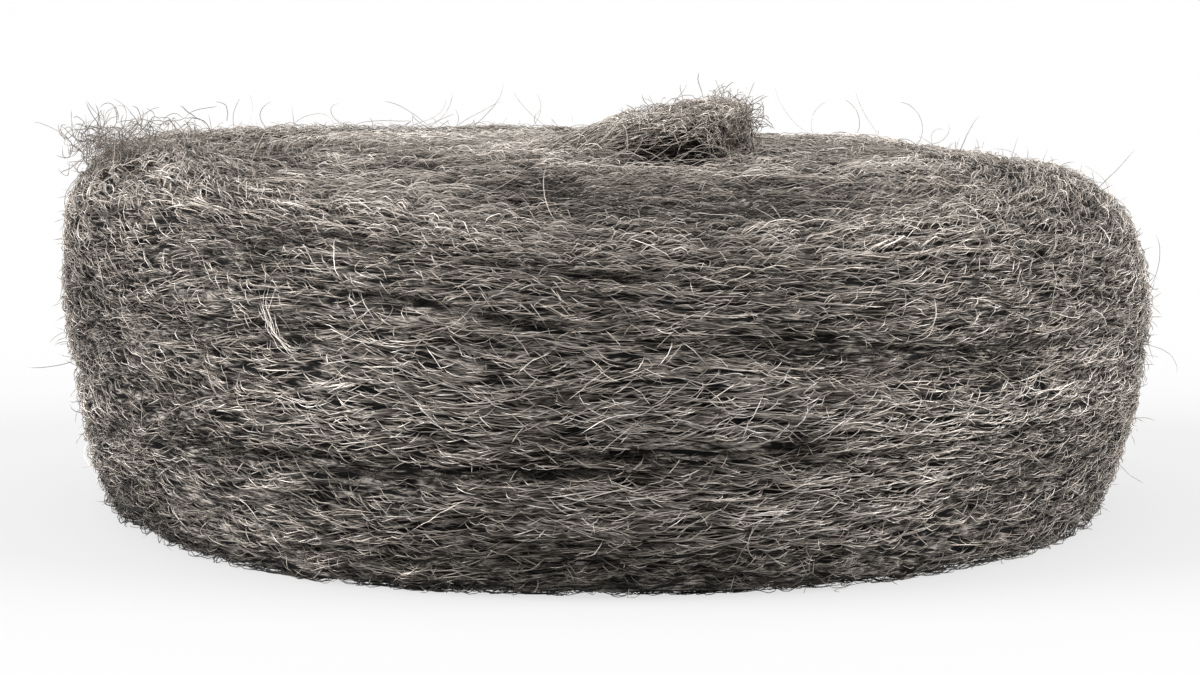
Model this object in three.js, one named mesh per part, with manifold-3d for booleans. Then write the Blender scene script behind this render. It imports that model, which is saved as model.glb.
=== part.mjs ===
// A roll of steel wool: one long ribbon of crimped steel strands, wound flat on itself and set down on its end.
// Everything is one piece, because the turns cling together. Units are millimetres and +Z is up.
// The origin is the middle of the flat underside. +X is the right and -Y the front, where the main lap shows.
import * as THREE from "three";
import { mergeVertices } from "three/addons/utils/BufferGeometryUtils.js";
import Module from "manifold-3d";

// --- Driving dimensions ---------------------------------------------------------------------------------------

// The wound roll, without its loose strands.
const ROLL_RADIUS = 53.5;
const ROLL_HEIGHT = 32.5; // at the shoulder, on the low side
const FOOT_RADIUS = 47.3; // the flat disc that the roll stands on
const BULGE_HEIGHT = 19; // where the flank is widest
const SHOULDER_RADIUS = 42; // where the rounded rim meets the top
const CROWN_RISE = 3.6; // how far the middle of the top stands above the shoulder
const HIGH_SIDE_RISE = 3.6; // the left side stands higher than the right

// The ribbon's turns show on top as one spiral furrow, and its laps as long furrows around the flank.
const RIBBON_THICKNESS = 9; // from one turn to the next
const EYE_RADIUS = 6; // the pinched middle, where the winding starts
const TURN_FURROW_DEPTH = 0.9;
const TURN_FURROW_WIDTH = 1.6;

// Each lap furrow: its height, how it waves up and down, its depth and half width, and the arc that it fades in
// and out over. Angles are in degrees from +X, anticlockwise from above, so -90 is the front.
const LAP_FURROWS = [
  { height: 11.3, wave: 1.0, depth: 1.5, width: 1.3, middle: -90, reach: 70 },
  { height: 20.5, wave: 0.8, depth: 1.0, width: 1.2, middle: -50, reach: 50 },
  { height: 15.0, wave: 1.5, depth: 1.2, width: 1.3, middle: 80, reach: 70 },
  { height: 24.0, wave: 1.0, depth: 0.9, width: 1.2, middle: 165, reach: 45 },
];

// The ribbon's inner end: a flattened lock that rises out of the eye and falls to the right, over a pocket.
const LOCK_START = new THREE.Vector3(-11, -2.5, 32.4);
const LOCK_PULL = new THREE.Vector3(13.8, -3, 41.6); // pulls the spine up, which itself peaks lower
const LOCK_END = new THREE.Vector3(14.8, -3.5, 35.2);
const LOCK_WIDTH = 13;
const LOCK_THICKNESS = 6.8;
const POCKET_CENTRE = new THREE.Vector3(7.5, -11, 36.2);
const POCKET_SIZE = new THREE.Vector3(10, 8, 4);

// How finely the round shapes are cut.
const ROLL_SEGMENTS = 72;
const FLANK_ROWS = 18;
const TOP_ROWS = 24;
const LOCK_SEGMENTS = 20;
const LOCK_ROWS = 14;
const POCKET_SEGMENTS = 14;
const POCKET_ROWS = 8;

// --- The outline of the roll, from the middle of the underside to the middle of the top -----------------------

function lowerFlank() {
  return new THREE.CubicBezierCurve(
    new THREE.Vector2(FOOT_RADIUS, 0),
    new THREE.Vector2(FOOT_RADIUS + 3.2, 0.2),
    new THREE.Vector2(ROLL_RADIUS - 0.9, BULGE_HEIGHT * 0.47),
    new THREE.Vector2(ROLL_RADIUS, BULGE_HEIGHT),
  );
}

function upperFlank() {
  return new THREE.CubicBezierCurve(
    new THREE.Vector2(ROLL_RADIUS, BULGE_HEIGHT),
    new THREE.Vector2(ROLL_RADIUS, ROLL_HEIGHT - 5),
    new THREE.Vector2(ROLL_RADIUS - 1.6, ROLL_HEIGHT - 1.1),
    new THREE.Vector2(SHOULDER_RADIUS, ROLL_HEIGHT),
  );
}

function crown() {
  return new THREE.CubicBezierCurve(
    new THREE.Vector2(SHOULDER_RADIUS, ROLL_HEIGHT),
    new THREE.Vector2(SHOULDER_RADIUS * 0.66, ROLL_HEIGHT + CROWN_RISE * 0.5),
    new THREE.Vector2(SHOULDER_RADIUS * 0.33, ROLL_HEIGHT + CROWN_RISE),
    new THREE.Vector2(0, ROLL_HEIGHT + CROWN_RISE),
  );
}

function outline() {
  const flankHalf = FLANK_ROWS / 2;
  return [
    new THREE.Vector2(0, 0),
    ...lowerFlank().getSpacedPoints(flankHalf),
    ...upperFlank().getSpacedPoints(flankHalf).slice(1),
    ...crown().getSpacedPoints(TOP_ROWS).slice(1),
  ];
}

// --- What makes a wound roll differ from a turned disc ---------------------------------------------------------

const bell = (distance, width) => Math.exp(-((distance / width) ** 2));

// From 0 on the right of the roll to 1 on its left.
const leftness = (angle) => (1 - Math.cos(angle)) / 2;

// How far a lap furrow cuts into the flank at this angle and height.
function lapFurrow(angle, height, furrow) {
  const fromMiddle = angle - THREE.MathUtils.degToRad(furrow.middle);
  const turned = Math.atan2(Math.sin(fromMiddle), Math.cos(fromMiddle));
  const centre = furrow.height + furrow.wave * Math.sin(2 * turned);
  const fade = bell(turned, THREE.MathUtils.degToRad(furrow.reach));
  return furrow.depth * fade * bell(height - centre, furrow.width);
}

// How far the spiral between two turns of ribbon cuts into the top at this angle and radius.
function turnFurrow(angle, radius) {
  const turnsOut = radius / RIBBON_THICKNESS - angle / (2 * Math.PI);
  const fromSeam = (turnsOut - Math.round(turnsOut)) * RIBBON_THICKNESS;
  const insideEye = bell(radius, EYE_RADIUS);
  const pastShoulder = THREE.MathUtils.smoothstep(radius, SHOULDER_RADIUS - 4, ROLL_RADIUS);
  const seam = bell(fromSeam, TURN_FURROW_WIDTH) * (1 - pastShoulder) * (1 - insideEye);
  return TURN_FURROW_DEPTH * (seam + insideEye);
}

function windPoint(point) {
  const radius = Math.hypot(point.x, point.y);
  const angle = Math.atan2(point.y, point.x);
  const cut = LAP_FURROWS.reduce((sum, furrow) => sum + lapFurrow(angle, point.z, furrow), 0);
  const flankShare = THREE.MathUtils.smoothstep(radius, SHOULDER_RADIUS, ROLL_RADIUS - 2);
  const wound = radius > 0 ? 1 - (cut * flankShare) / radius : 1;
  const onTop = THREE.MathUtils.smoothstep(point.z, ROLL_HEIGHT - 3, ROLL_HEIGHT);
  const rise = HIGH_SIDE_RISE * leftness(angle) * (radius / ROLL_RADIUS) ** 2;
  const raised = point.z * (1 + rise / ROLL_HEIGHT) - turnFurrow(angle, radius) * onTop;
  return point.set(point.x * wound, point.y * wound, raised);
}

// --- Geometry helpers -------------------------------------------------------------------------------------------

// Only positions are kept, so that the seams of three.js shapes close.
function weld(geometry) {
  geometry.deleteAttribute("normal");
  geometry.deleteAttribute("uv");
  return mergeVertices(geometry, 1e-4);
}

function movePoints(geometry, move) {
  const positions = geometry.getAttribute("position");
  const point = new THREE.Vector3();
  for (let i = 0; i < positions.count; i++) {
    move(point.fromBufferAttribute(positions, i));
    positions.setXYZ(i, point.x, point.y, point.z);
  }
  return geometry;
}

const wasm = await Module();
wasm.setup();

function solidFrom(geometry) {
  return new wasm.Manifold(
    new wasm.Mesh({
      numProp: 3,
      vertProperties: new Float32Array(geometry.getAttribute("position").array),
      triVerts: new Uint32Array(geometry.index.array),
    }),
  );
}

function geometryFrom(solid) {
  const mesh = solid.getMesh();
  return new THREE.BufferGeometry()
    .setAttribute("position", new THREE.BufferAttribute(mesh.vertProperties, 3))
    .setIndex(new THREE.BufferAttribute(mesh.triVerts, 1));
}

// --- The pieces that are joined and cut ---------------------------------------------------------------------------

function rollGeometry() {
  const turned = new THREE.LatheGeometry(outline(), ROLL_SEGMENTS);
  turned.rotateX(Math.PI / 2);
  return movePoints(weld(turned), windPoint);
}

// A ball drawn out along the lock's spine: thin at its start, full past its middle and blunt at its end.
function lockGeometry() {
  const spine = new THREE.QuadraticBezierCurve3(LOCK_START, LOCK_PULL, LOCK_END);
  const ball = new THREE.SphereGeometry(1, LOCK_SEGMENTS, LOCK_ROWS);
  ball.rotateZ(-Math.PI / 2);
  return movePoints(weld(ball), (point) => {
    const along = (point.x + 1) / 2;
    const swell = 0.25 + 0.75 * THREE.MathUtils.smoothstep(along, 0, 0.7);
    const onSpine = spine.getPoint(along);
    point.set(
      onSpine.x,
      onSpine.y + (point.y * swell * LOCK_WIDTH) / 2,
      onSpine.z + (point.z * swell * LOCK_THICKNESS) / 2,
    );
  });
}

// The hollow in front of the lock, under its overhang.
function pocketGeometry() {
  const ball = new THREE.SphereGeometry(0.5, POCKET_SEGMENTS, POCKET_ROWS);
  ball.scale(POCKET_SIZE.x, POCKET_SIZE.y, POCKET_SIZE.z);
  ball.translate(POCKET_CENTRE.x, POCKET_CENTRE.y, POCKET_CENTRE.z);
  return weld(ball);
}

function woolRoll() {
  const wound = solidFrom(rollGeometry());
  const lock = solidFrom(lockGeometry());
  const pocket = solidFrom(pocketGeometry());
  return geometryFrom(wound.add(lock).subtract(pocket));
}

// --- The part -----------------------------------------------------------------------------------------------------

const steelWool = new THREE.MeshStandardMaterial({
  color: new THREE.Color(0.42, 0.4, 0.38),
  roughness: 0.6,
  metalness: 0.8,
});

const wool = new THREE.Mesh(woolRoll(), steelWool);
wool.name = "wool_roll";

const part = new THREE.Group();
part.name = "steel_wool_roll";
part.add(wool);

export default part;
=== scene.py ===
# %% [markdown]
# # A roll of coarse steel wool
#
# Steel wool is a ribbon of crimped steel strands. This roll is one long ribbon, wound flat on itself and
# set down on its end, with the ribbon's free end standing up on top. There is nothing else in it: no core,
# band or case.
#
# The lesson builds it in two depths. First comes a dark packed heart, which is all that shows between
# strands. Then thousands of single strands, each a thin closed blade, are laid over it in layers.

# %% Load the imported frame
import math

import bpy
import numpy as np
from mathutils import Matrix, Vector


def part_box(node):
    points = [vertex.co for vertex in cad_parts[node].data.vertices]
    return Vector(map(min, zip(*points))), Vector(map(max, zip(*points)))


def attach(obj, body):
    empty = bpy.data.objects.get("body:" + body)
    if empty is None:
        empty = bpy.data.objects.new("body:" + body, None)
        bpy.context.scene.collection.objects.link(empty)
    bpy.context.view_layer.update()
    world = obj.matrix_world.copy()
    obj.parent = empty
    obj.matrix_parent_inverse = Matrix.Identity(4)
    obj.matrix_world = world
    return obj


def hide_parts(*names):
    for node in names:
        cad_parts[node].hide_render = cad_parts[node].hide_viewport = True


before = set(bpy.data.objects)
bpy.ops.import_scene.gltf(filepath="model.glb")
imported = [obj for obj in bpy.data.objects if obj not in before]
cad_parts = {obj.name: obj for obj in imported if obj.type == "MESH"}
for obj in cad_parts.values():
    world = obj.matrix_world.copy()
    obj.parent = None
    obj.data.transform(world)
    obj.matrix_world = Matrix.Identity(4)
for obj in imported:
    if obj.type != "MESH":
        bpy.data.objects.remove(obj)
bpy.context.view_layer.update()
MM = 0.001

# %% [markdown]
# ## The outline of the roll
#
# A wound roll is a body of revolution with a rounded rim. Its outline is worked out once, as points from the
# middle of the underside to the middle of the top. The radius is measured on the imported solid, and the other
# sizes are those that the solid was modelled with. A strand finds its place by how far along the outline it
# lies. This length is called its lap, and it makes the flank, the rims and the flat ends one sheet.

# %% The outline
low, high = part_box("wool_roll")
ROLL_RADIUS = (high.x - low.x) / 2 / MM
ROLL_HEIGHT = 32.5  # at the shoulder, on the low side
FOOT_RADIUS = 47.3  # the flat disc that the roll stands on
BULGE_HEIGHT = 19.0  # where the flank is widest
SHOULDER_RADIUS = 42.0  # where the rounded rim meets the top
CROWN_RISE = 3.6  # how far the middle of the top stands above the shoulder
HIGH_SIDE_RISE = 3.6  # how far the left side stands above the right
SPAN_POINTS = 60  # on each of the outline's four spans
SOFTENING_PASSES = 6
TAU = 2 * math.pi


def bezier(a, b, c, d, steps):
    t = np.linspace(0, 1, steps)[:, None]
    a, b, c, d = (np.array(p, float) for p in (a, b, c, d))
    return (1 - t) ** 3 * a + 3 * (1 - t) ** 2 * t * b + 3 * (1 - t) * t**2 * c + t**3 * d


def outline_points():
    foot, widest = (FOOT_RADIUS, 0), (ROLL_RADIUS, BULGE_HEIGHT)
    shoulder, crown = (SHOULDER_RADIUS, ROLL_HEIGHT), (0, ROLL_HEIGHT + CROWN_RISE)
    off_the_bench, under_the_bulge = (FOOT_RADIUS + 2.8, 0.2), (ROLL_RADIUS - 1.3, BULGE_HEIGHT * 0.49)
    over_the_bulge, at_the_rim = (ROLL_RADIUS, ROLL_HEIGHT - 5), (ROLL_RADIUS - 1.6, ROLL_HEIGHT - 1.1)
    past_the_rim = (SHOULDER_RADIUS * 0.66, ROLL_HEIGHT + CROWN_RISE * 0.51)
    near_the_crown = (SHOULDER_RADIUS / 3, crown[1])
    underside = np.linspace((0, 0), foot, SPAN_POINTS)
    lower = bezier(foot, off_the_bench, under_the_bulge, widest, SPAN_POINTS)
    upper = bezier(widest, over_the_bulge, at_the_rim, shoulder, SPAN_POINTS)
    top = bezier(shoulder, past_the_rim, near_the_crown, crown, SPAN_POINTS)
    return np.vstack([underside, lower[1:], upper[1:], top[1:]])


OUTLINE = outline_points()
STEPS = np.hypot(*np.diff(OUTLINE, axis=0).T)
ALONG = np.concatenate([[0], np.cumsum(STEPS)])  # millimetres from the middle of the underside
OUTLINE_LENGTH = ALONG[-1]
TANGENT = np.gradient(OUTLINE, ALONG, axis=0)
for _ in range(SOFTENING_PASSES):  # soften the corner at the foot, so that strands roll over it
    TANGENT[1:-1] = (TANGENT[:-2] + 2 * TANGENT[1:-1] + TANGENT[2:]) / 4
TANGENT /= np.linalg.norm(TANGENT, axis=1)[:, None]
LAST_FOOT, LAST_WIDEST, LAST_SHOULDER = ((SPAN_POINTS - 1) * spans for spans in (1, 2, 3))
FOOT, WIDEST, SHOULDER = ALONG[LAST_FOOT], ALONG[LAST_WIDEST], ALONG[LAST_SHOULDER]
print(f"outline {OUTLINE_LENGTH:.1f} mm; foot at {FOOT:.1f}, widest {WIDEST:.1f}, shoulder {SHOULDER:.1f}")

# %% [markdown]
# ## Noise that closes on itself
#
# A roll has no seam, so whatever wanders round it has to come back to where it started. This noise is a
# grid of random numbers, wrapped round the roll and blended between its points. The grid's two spacings set
# how long and how narrow its blobs are.

# %% Seamless noise
SEED = 20
NOISE_ROWS = 256


def fade(t):
    return t * t * (3 - 2 * t)


def wrapped_noise(cells_around, spacing, seed):
    grid = np.random.default_rng(seed).uniform(-1, 1, (cells_around, NOISE_ROWS))

    def noise(angle, along):
        u = (np.asarray(angle) / TAU % 1.0) * cells_around
        v = (np.asarray(along) / spacing) % NOISE_ROWS
        i, j = np.floor(u).astype(int), np.floor(v).astype(int)
        fu, fv = fade(u - i), fade(v - j)
        i0, i1 = i % cells_around, (i + 1) % cells_around
        j0, j1 = j % NOISE_ROWS, (j + 1) % NOISE_ROWS
        near = grid[i0, j0] * (1 - fu) + grid[i1, j0] * fu
        far = grid[i0, j1] * (1 - fu) + grid[i1, j1] * fu
        return near * (1 - fv) + far * fv

    return noise


wander = wrapped_noise(9, 11, SEED + 1)
wander_fine = wrapped_noise(22, 5, SEED + 2)
lap_noise = wrapped_noise(13, 3.4, SEED + 3)
lap_noise_fine = wrapped_noise(30, 1.7, SEED + 4)
lap_noise_finest = wrapped_noise(56, 1.05, SEED + 8)
TOP_CELLS = 64
top_noise = wrapped_noise(TOP_CELLS, 2.6, SEED + 9)
top_noise_fine = wrapped_noise(TOP_CELLS, 1.3, SEED + 60)
lap_fade = wrapped_noise(15, 6, SEED + 5)
swell_noise = wrapped_noise(12, 7, SEED + 6)

# %% [markdown]
# ## Laps, furrows and swells
#
# The turns of ribbon don't lie evenly. They wander up and down, bulge, and leave long lens-shaped furrows
# where two laps part. The relief is worked out in the ribbon's own coordinates: the angle round the roll
# and the lap, which is the place along the outline before the ribbon wanders. Strands that keep to one lap
# then run along the furrows, as real ones do. The deep furrows of the front are placed one by one, and
# noise makes the rest.

# %% The relief of the winding
# Each deep furrow: its angle from the front in degrees, its lap above the foot, its drift from one end to the
# other, its depth, its half width and its half length in degrees. The last three are round the back.
DEEP_FURROWS = [
    (-12, 12.3, 0.5, 2.4, 0.42, 13),
    (8, 14.5, 0.3, 2.2, 0.40, 13),
    (-46, 11.8, 0.8, 0.9, 0.45, 20),
    (38, 14.2, 0.6, 0.9, 0.45, 20),
    (32, 22.8, -0.5, 1.1, 0.45, 22),
    (-18, 25.6, -1.0, 1.0, 0.42, 15),
    (0, 29.8, 0.2, 1.0, 0.42, 8),
    (-28, 32.2, -0.8, 1.0, 0.42, 12),
    (176, 12.5, 1.5, 1.8, 0.5, 30),
    (118, 22.0, -1.0, 1.3, 0.5, 24),
    (-120, 17.0, 1.0, 1.5, 0.5, 26),
]
FRONT = -math.pi / 2


def smoothstep(x, start, end):
    return fade(np.clip((x - start) / (end - start), 0, 1))


def turned(angle, middle):
    return (angle - middle + math.pi) % TAU - math.pi


def on_flank(lap):
    return smoothstep(lap, FOOT - 3, FOOT + 4) * (1 - smoothstep(lap, SHOULDER - 6, SHOULDER + 6))


def deep_furrows(angle, lap):
    cut = np.zeros(np.broadcast(angle, lap).shape)
    for middle, lap_up, drift, depth, width, reach in DEEP_FURROWS:
        across = turned(angle, FRONT + math.radians(middle)) / math.radians(reach)
        centre = FOOT + lap_up + drift * across
        cut += depth * np.exp(-(across**4)) * np.exp(-(((lap - centre) / width) ** 2))
    return cut


def small_furrows(angle, lap):
    """Gaps wherever a noise is near nought: that draws thin, wandering lines instead of blobs."""
    coarse = np.exp(-((lap_noise(angle, lap) / 0.13) ** 2)) * smoothstep(lap_fade(angle, lap), -0.35, 0.5)
    elsewhere = smoothstep(-lap_fade(angle, lap + 40), -0.3, 0.5)
    fine = np.exp(-((lap_noise_fine(angle, lap) / 0.16) ** 2)) * elsewhere
    finest = np.exp(-((lap_noise_finest(angle, lap) / 0.15) ** 2))
    return np.minimum(0.5 * coarse + 0.45 * fine + 0.5 * finest, 0.85)


TOP_GAPS = (9, 5)  # how long the wide and the narrow gaps on top are, in millimetres


def top_furrows(angle, lap):
    """On top the strands lie from left to right, and so do the gaps between them."""
    radius = np.interp(lap, ALONG, OUTLINE[:, 0])
    to_the_right, away = radius * np.cos(angle), radius * np.sin(angle)
    wide = top_noise(to_the_right * TAU / (TOP_CELLS * TOP_GAPS[0]), away + 60)
    narrow = top_noise_fine(to_the_right * TAU / (TOP_CELLS * TOP_GAPS[1]), away + 60)
    kept = 1 - 0.6 * smoothstep(np.abs(to_the_right), 14, 40)  # there they follow the winding instead
    kept *= 1 + 0.5 * smoothstep(-away, 5, 30)  # the laps part more in front, where they bend down
    return kept * (0.65 * np.exp(-((wide / 0.16) ** 2)) + 0.5 * np.exp(-((narrow / 0.16) ** 2)))


def relief(angle, lap):
    swell = 0.32 * swell_noise(angle, lap) + 0.16 * wander_fine(angle, lap + 70)
    on_top = smoothstep(lap, SHOULDER - 4, SHOULDER + 2)
    furrows = small_furrows(angle, lap) * (1 - on_top) + top_furrows(angle, lap) * on_top
    return swell - furrows - deep_furrows(angle, lap) * on_flank(lap) - pocket(angle, lap)


SPRING = 0.6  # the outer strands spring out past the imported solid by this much
RIM = SHOULDER - 8  # the lap where the rounded rim turns fastest
SHOULDER_PUSH = 1.3  # the left rim is squarer, because the outermost turn stands proud there
FRONT_ROUND = 2.9  # in front the rim is rounder, so the flank runs on to the top without an edge
RIGHT_PUSH = 0.45  # nor is the roll quite round: it is a little wider to the right
RIGHT_CROWN = 1.7  # and the right of the top is fuller
FOOT_LEAN = 0.3  # the foot has slumped this much to the left of the middle
FOOT_SPREAD = 1.2  # and spreads this much to both sides
POCKET_MIDDLE = (7.5, -11)  # the hollow on top, in front of the free end
POCKET_REACH = (4.6, 3.8)
POCKET_DEPTH = 2.0
SEAM_MIDDLE = (-3.5, -9.6)  # the hollow runs on to the left as a narrow seam under the free end's edge
SEAM_REACH = (8.5, 0.9)
SEAM_DEPTH = 1.1


def pocket(angle, lap):
    radius = np.interp(lap, ALONG, OUTLINE[:, 0])
    x, y = radius * np.cos(angle), radius * np.sin(angle)
    across, ahead = (x - POCKET_MIDDLE[0]) / POCKET_REACH[0], (y - POCKET_MIDDLE[1]) / POCKET_REACH[1]
    hollow = POCKET_DEPTH * np.exp(-(across**4) - ahead**2)
    across, ahead = (x - SEAM_MIDDLE[0]) / SEAM_REACH[0], (y - SEAM_MIDDLE[1]) / SEAM_REACH[1]
    return (hollow + SEAM_DEPTH * np.exp(-(across**4) - ahead**2)) * (lap > SHOULDER)


def sway(angle, lap):
    return on_flank(lap) * (1.3 * wander(angle, lap) + 0.45 * wander_fine(angle, lap))


def place(angle, lap, lift):
    """Where a point of the ribbon is, in millimetres, from its angle, lap and lift above the relief."""
    along = np.clip(lap + sway(angle, lap), 0, OUTLINE_LENGTH)
    radius, height = (np.interp(along, ALONG, OUTLINE[:, k]) for k in (0, 1))
    run, rise = (np.interp(along, ALONG, TANGENT[:, k]) for k in (0, 1))
    leftness = (1 - np.cos(angle)) / 2
    out = relief(angle, lap) + lift + SPRING * on_flank(lap)
    frontness = np.clip(-np.sin(angle), 0, 1) ** 1.2
    past_rim = lap - RIM - 0.5
    out += SHOULDER_PUSH * leftness**3 * np.exp(-((past_rim / np.where(past_rim > 0, 15, 4.8)) ** 2))
    out -= FRONT_ROUND * frontness * np.exp(-(((lap - RIM + 0.5) / 8) ** 2))
    out += RIGHT_CROWN * (1 - leftness) ** 2 * np.exp(-(((lap - RIM - 17) / 11) ** 2))
    out += RIGHT_PUSH * (1 - leftness) ** 2 * on_flank(lap)
    higher = 1 + HIGH_SIDE_RISE / ROLL_HEIGHT * leftness * (radius / ROLL_RADIUS) ** 2
    radius, height = radius + rise * out, height * higher - run * out
    lean = FOOT_LEAN * (1 - smoothstep(height, 0, BULGE_HEIGHT / 2))
    radius += FOOT_SPREAD * np.cos(angle) ** 4 * (1 - smoothstep(height, 0, 2.2))
    return np.stack([radius * np.cos(angle) - lean, radius * np.sin(angle), height], axis=-1)


# %% [markdown]
# ## The packed heart
#
# Behind the outer strands the wool is packed too tightly to see into. More strands there would cost a great
# deal and show as darkness, so the heart is one closed body. It starts as a ball primitive, because a ball
# already has rings and closed poles. In edit mode it is pressed flat. Then each ring is laid on the outline,
# with the furrows pressed in, a little below the strands.

# %% Model the heart
HEART_DEPTH = 1.15  # how far the heart lies under the relief
HEART_GAP = 0.35  # and over the bench
RIM_SHARE = 0.8  # but it comes up nearly to the strands round the foot, so no light shows under the rim
HEART_SEGMENTS = 144
HEART_RINGS = 96
POLE = 1e-4  # a point this close to a ball's pole, as a share of the way round, is the pole


def deselect_all():
    if bpy.context.object and bpy.context.object.mode != "OBJECT":
        bpy.ops.object.mode_set(mode="OBJECT")
    bpy.ops.object.select_all(action="DESELECT")


def add_ball(name, segments, rings, radius):
    deselect_all()
    bpy.ops.mesh.primitive_uv_sphere_add(segments=segments, ring_count=rings, radius=radius * MM)
    ball = bpy.context.object
    ball.name = name
    return ball


def points_of(mesh):
    points = np.zeros(len(mesh.vertices) * 3)
    mesh.vertices.foreach_get("co", points)
    return points.reshape(-1, 3).T / MM


def lay_body(ball, laid, pattern):
    """Moves a ball's points to where they're laid, and gives them the coordinates that its finish reads."""
    ball.data.vertices.foreach_set("co", (laid * MM).ravel())
    winding = ball.data.attributes.new("winding", "FLOAT_VECTOR", "POINT")
    winding.data.foreach_set("vector", pattern.ravel().astype(np.float32))
    ball.data.update()
    bpy.ops.object.mode_set(mode="EDIT")
    bpy.ops.mesh.select_all(action="SELECT")
    bpy.ops.mesh.normals_make_consistent(inside=False)
    bpy.ops.object.mode_set(mode="OBJECT")
    bpy.ops.object.shade_smooth()
    return ball


def model_heart():
    heart = add_ball("packed_heart", HEART_SEGMENTS, HEART_RINGS, ROLL_RADIUS)
    bpy.ops.object.mode_set(mode="EDIT")
    bpy.ops.mesh.select_all(action="SELECT")
    bpy.ops.transform.resize(value=(1, 1, ROLL_HEIGHT / 2 / ROLL_RADIUS))
    bpy.ops.transform.translate(value=(0, 0, ROLL_HEIGHT / 2 * MM))
    bpy.ops.object.mode_set(mode="OBJECT")
    x, y, z = points_of(heart.data)
    angle = np.arctan2(y, x)
    tilt = np.arccos(np.clip(1 - z / (ROLL_HEIGHT / 2), -1, 1)) / math.pi
    lap = tilt * OUTLINE_LENGTH
    depth = HEART_DEPTH * (1 - RIM_SHARE * np.exp(-(((lap - FOOT) / 4) ** 2)))
    laid = place(angle, lap, -depth)
    laid[(tilt < POLE) | (tilt > 1 - POLE), :2] = 0
    laid[:, 2] = np.maximum(laid[:, 2], HEART_GAP)
    return lay_body(heart, laid, winding_coordinates(angle, lap))


STRETCH = 9.0  # the heart's pattern is this much longer along the strands than across them


def winding_coordinates(angle, lap):
    """Coordinates that follow the winding, in millimetres: a ring for the angle, the lap for the height."""
    ring = ROLL_RADIUS / STRETCH
    return np.stack([ring * np.cos(angle), ring * np.sin(angle), lap * np.ones_like(angle)], axis=-1)


heart = model_heart()
print("heart:", len(heart.data.polygons), "faces")

# %% [markdown]
# ## One strand, many times
#
# A strand of steel wool is a shaving, not a wire: its section is three-cornered, with sharp edges, and it
# tapers at its ends. Hair particles would render, but they leave no mesh behind, and a bevelled curve has
# open ends. So each strand is built directly: three sides between two pointed ends, closed all round, with
# a few dozen faces at the most. Thousands go in one mesh.

# %% Build strands as meshes
made = {"strands": 0, "triangles": 0}
SIDES = 3


def unit(vectors):
    return vectors / (np.linalg.norm(vectors, axis=-1, keepdims=True) + 1e-12)


def one_strand_faces(points):
    """The corners of one closed strand's triangles at its two pointed ends, and of the quads between."""
    rings, last = points - 2, 1 + SIDES * (points - 2)
    tris, quads = [], []
    for k in range(SIDES):
        n = (k + 1) % SIDES
        tris.append((0, 1 + n, 1 + k))
        tris.append((last, last - SIDES + k, last - SIDES + n))
        for r in range(rings - 1):
            a = 1 + SIDES * r
            quads.append((a + k, a + n, a + SIDES + n, a + SIDES + k))
    return np.array(tris), np.array(quads)


def strand_mesh(name, paths, width, outward, twist, tone, shade, blunt=5.0):
    """Builds one mesh of closed strands. paths is strands x points x 3 in millimetres, outward is the way each
    strand faces, tone is how light it is and shade is the painted shade of each point, lighter the farther out
    of the wool it lies."""
    strands, points = paths.shape[:2]
    forward = unit(np.gradient(paths, axis=1))
    side = unit(np.cross(forward, outward))
    up = np.cross(side, forward)
    t = np.linspace(0, 1, points)
    taper = np.clip(np.minimum(t, 1 - t) * blunt, 0.0, 1.0) ** 0.6
    corners = (twist[:, None] + np.arange(SIDES)[None, :] * TAU / SIDES)[:, None, :, None]
    size = (width[:, None] / 2 * taper)[:, :, None, None]
    ring = paths[:, :, None] + size * (np.cos(corners) * side[:, :, None] + np.sin(corners) * up[:, :, None])
    inner = ring[:, 1:-1].reshape(strands, -1, 3)
    vertices = np.concatenate([paths[:, :1], inner, paths[:, -1:]], axis=1)
    per_strand = vertices.shape[1]

    tris, quads = one_strand_faces(points)
    loops_one = np.concatenate([tris.ravel(), quads.ravel()])
    sizes_one = np.concatenate([np.full(len(tris), 3), np.full(len(quads), 4)])
    loops = (loops_one[None, :] + (np.arange(strands) * per_strand)[:, None]).ravel()
    sizes = np.tile(sizes_one, strands)

    mesh = bpy.data.meshes.new(name)
    mesh.vertices.add(strands * per_strand)
    mesh.vertices.foreach_set("co", (vertices * MM).ravel())
    mesh.loops.add(len(loops))
    mesh.loops.foreach_set("vertex_index", loops.astype(np.int32))
    mesh.polygons.add(len(sizes))
    mesh.polygons.foreach_set("loop_start", np.concatenate([[0], np.cumsum(sizes)[:-1]]).astype(np.int32))
    mesh.update(calc_edges=True)
    lay_on_map(mesh, np.broadcast_to(tone[:, None], (strands, points)), shade, loops_one)
    piece = bpy.data.objects.new(name, mesh)
    bpy.context.scene.collection.objects.link(piece)
    triangles = strands * (2 * len(quads) + len(tris))
    made["strands"] += strands
    made["triangles"] += triangles
    print(f"{name}: {strands} strands, {triangles} triangles")
    return piece


# %% [markdown]
# ## A shared map for the finish
#
# Tens of thousands of strands can't each have their own patch of a finish. They share one map instead. Its
# width is how light the steel is, and its height is the painted shade of a point, darker the deeper in the
# wool it lies. A strand takes a narrow window of it, and the windows may lie over each other, since the same
# place on the map always has the same finish.

# %% Lay strands on the shared map
WINDOW = 0.03  # how wide a strand's window is, as a share of the map


def lay_on_map(mesh, tone, shade, loops_one):
    points = tone.shape[1]
    ring_of = np.concatenate([[0], np.repeat(np.arange(1, points - 1), SIDES), [points - 1]])
    corner_of = np.concatenate([[0], np.tile(np.arange(SIDES), points - 2), [0]])
    across = WINDOW * (corner_of == 1)
    at = np.stack([tone[:, ring_of] - across[None], shade[:, ring_of]], axis=-1)
    uv = np.clip(at[:, loops_one], 0.003, 0.997).reshape(-1).astype(np.float32)
    for map_name in ("strand", "OFBake"):
        mesh.uv_layers.new(name=map_name).data.foreach_set("uv", uv)


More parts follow.
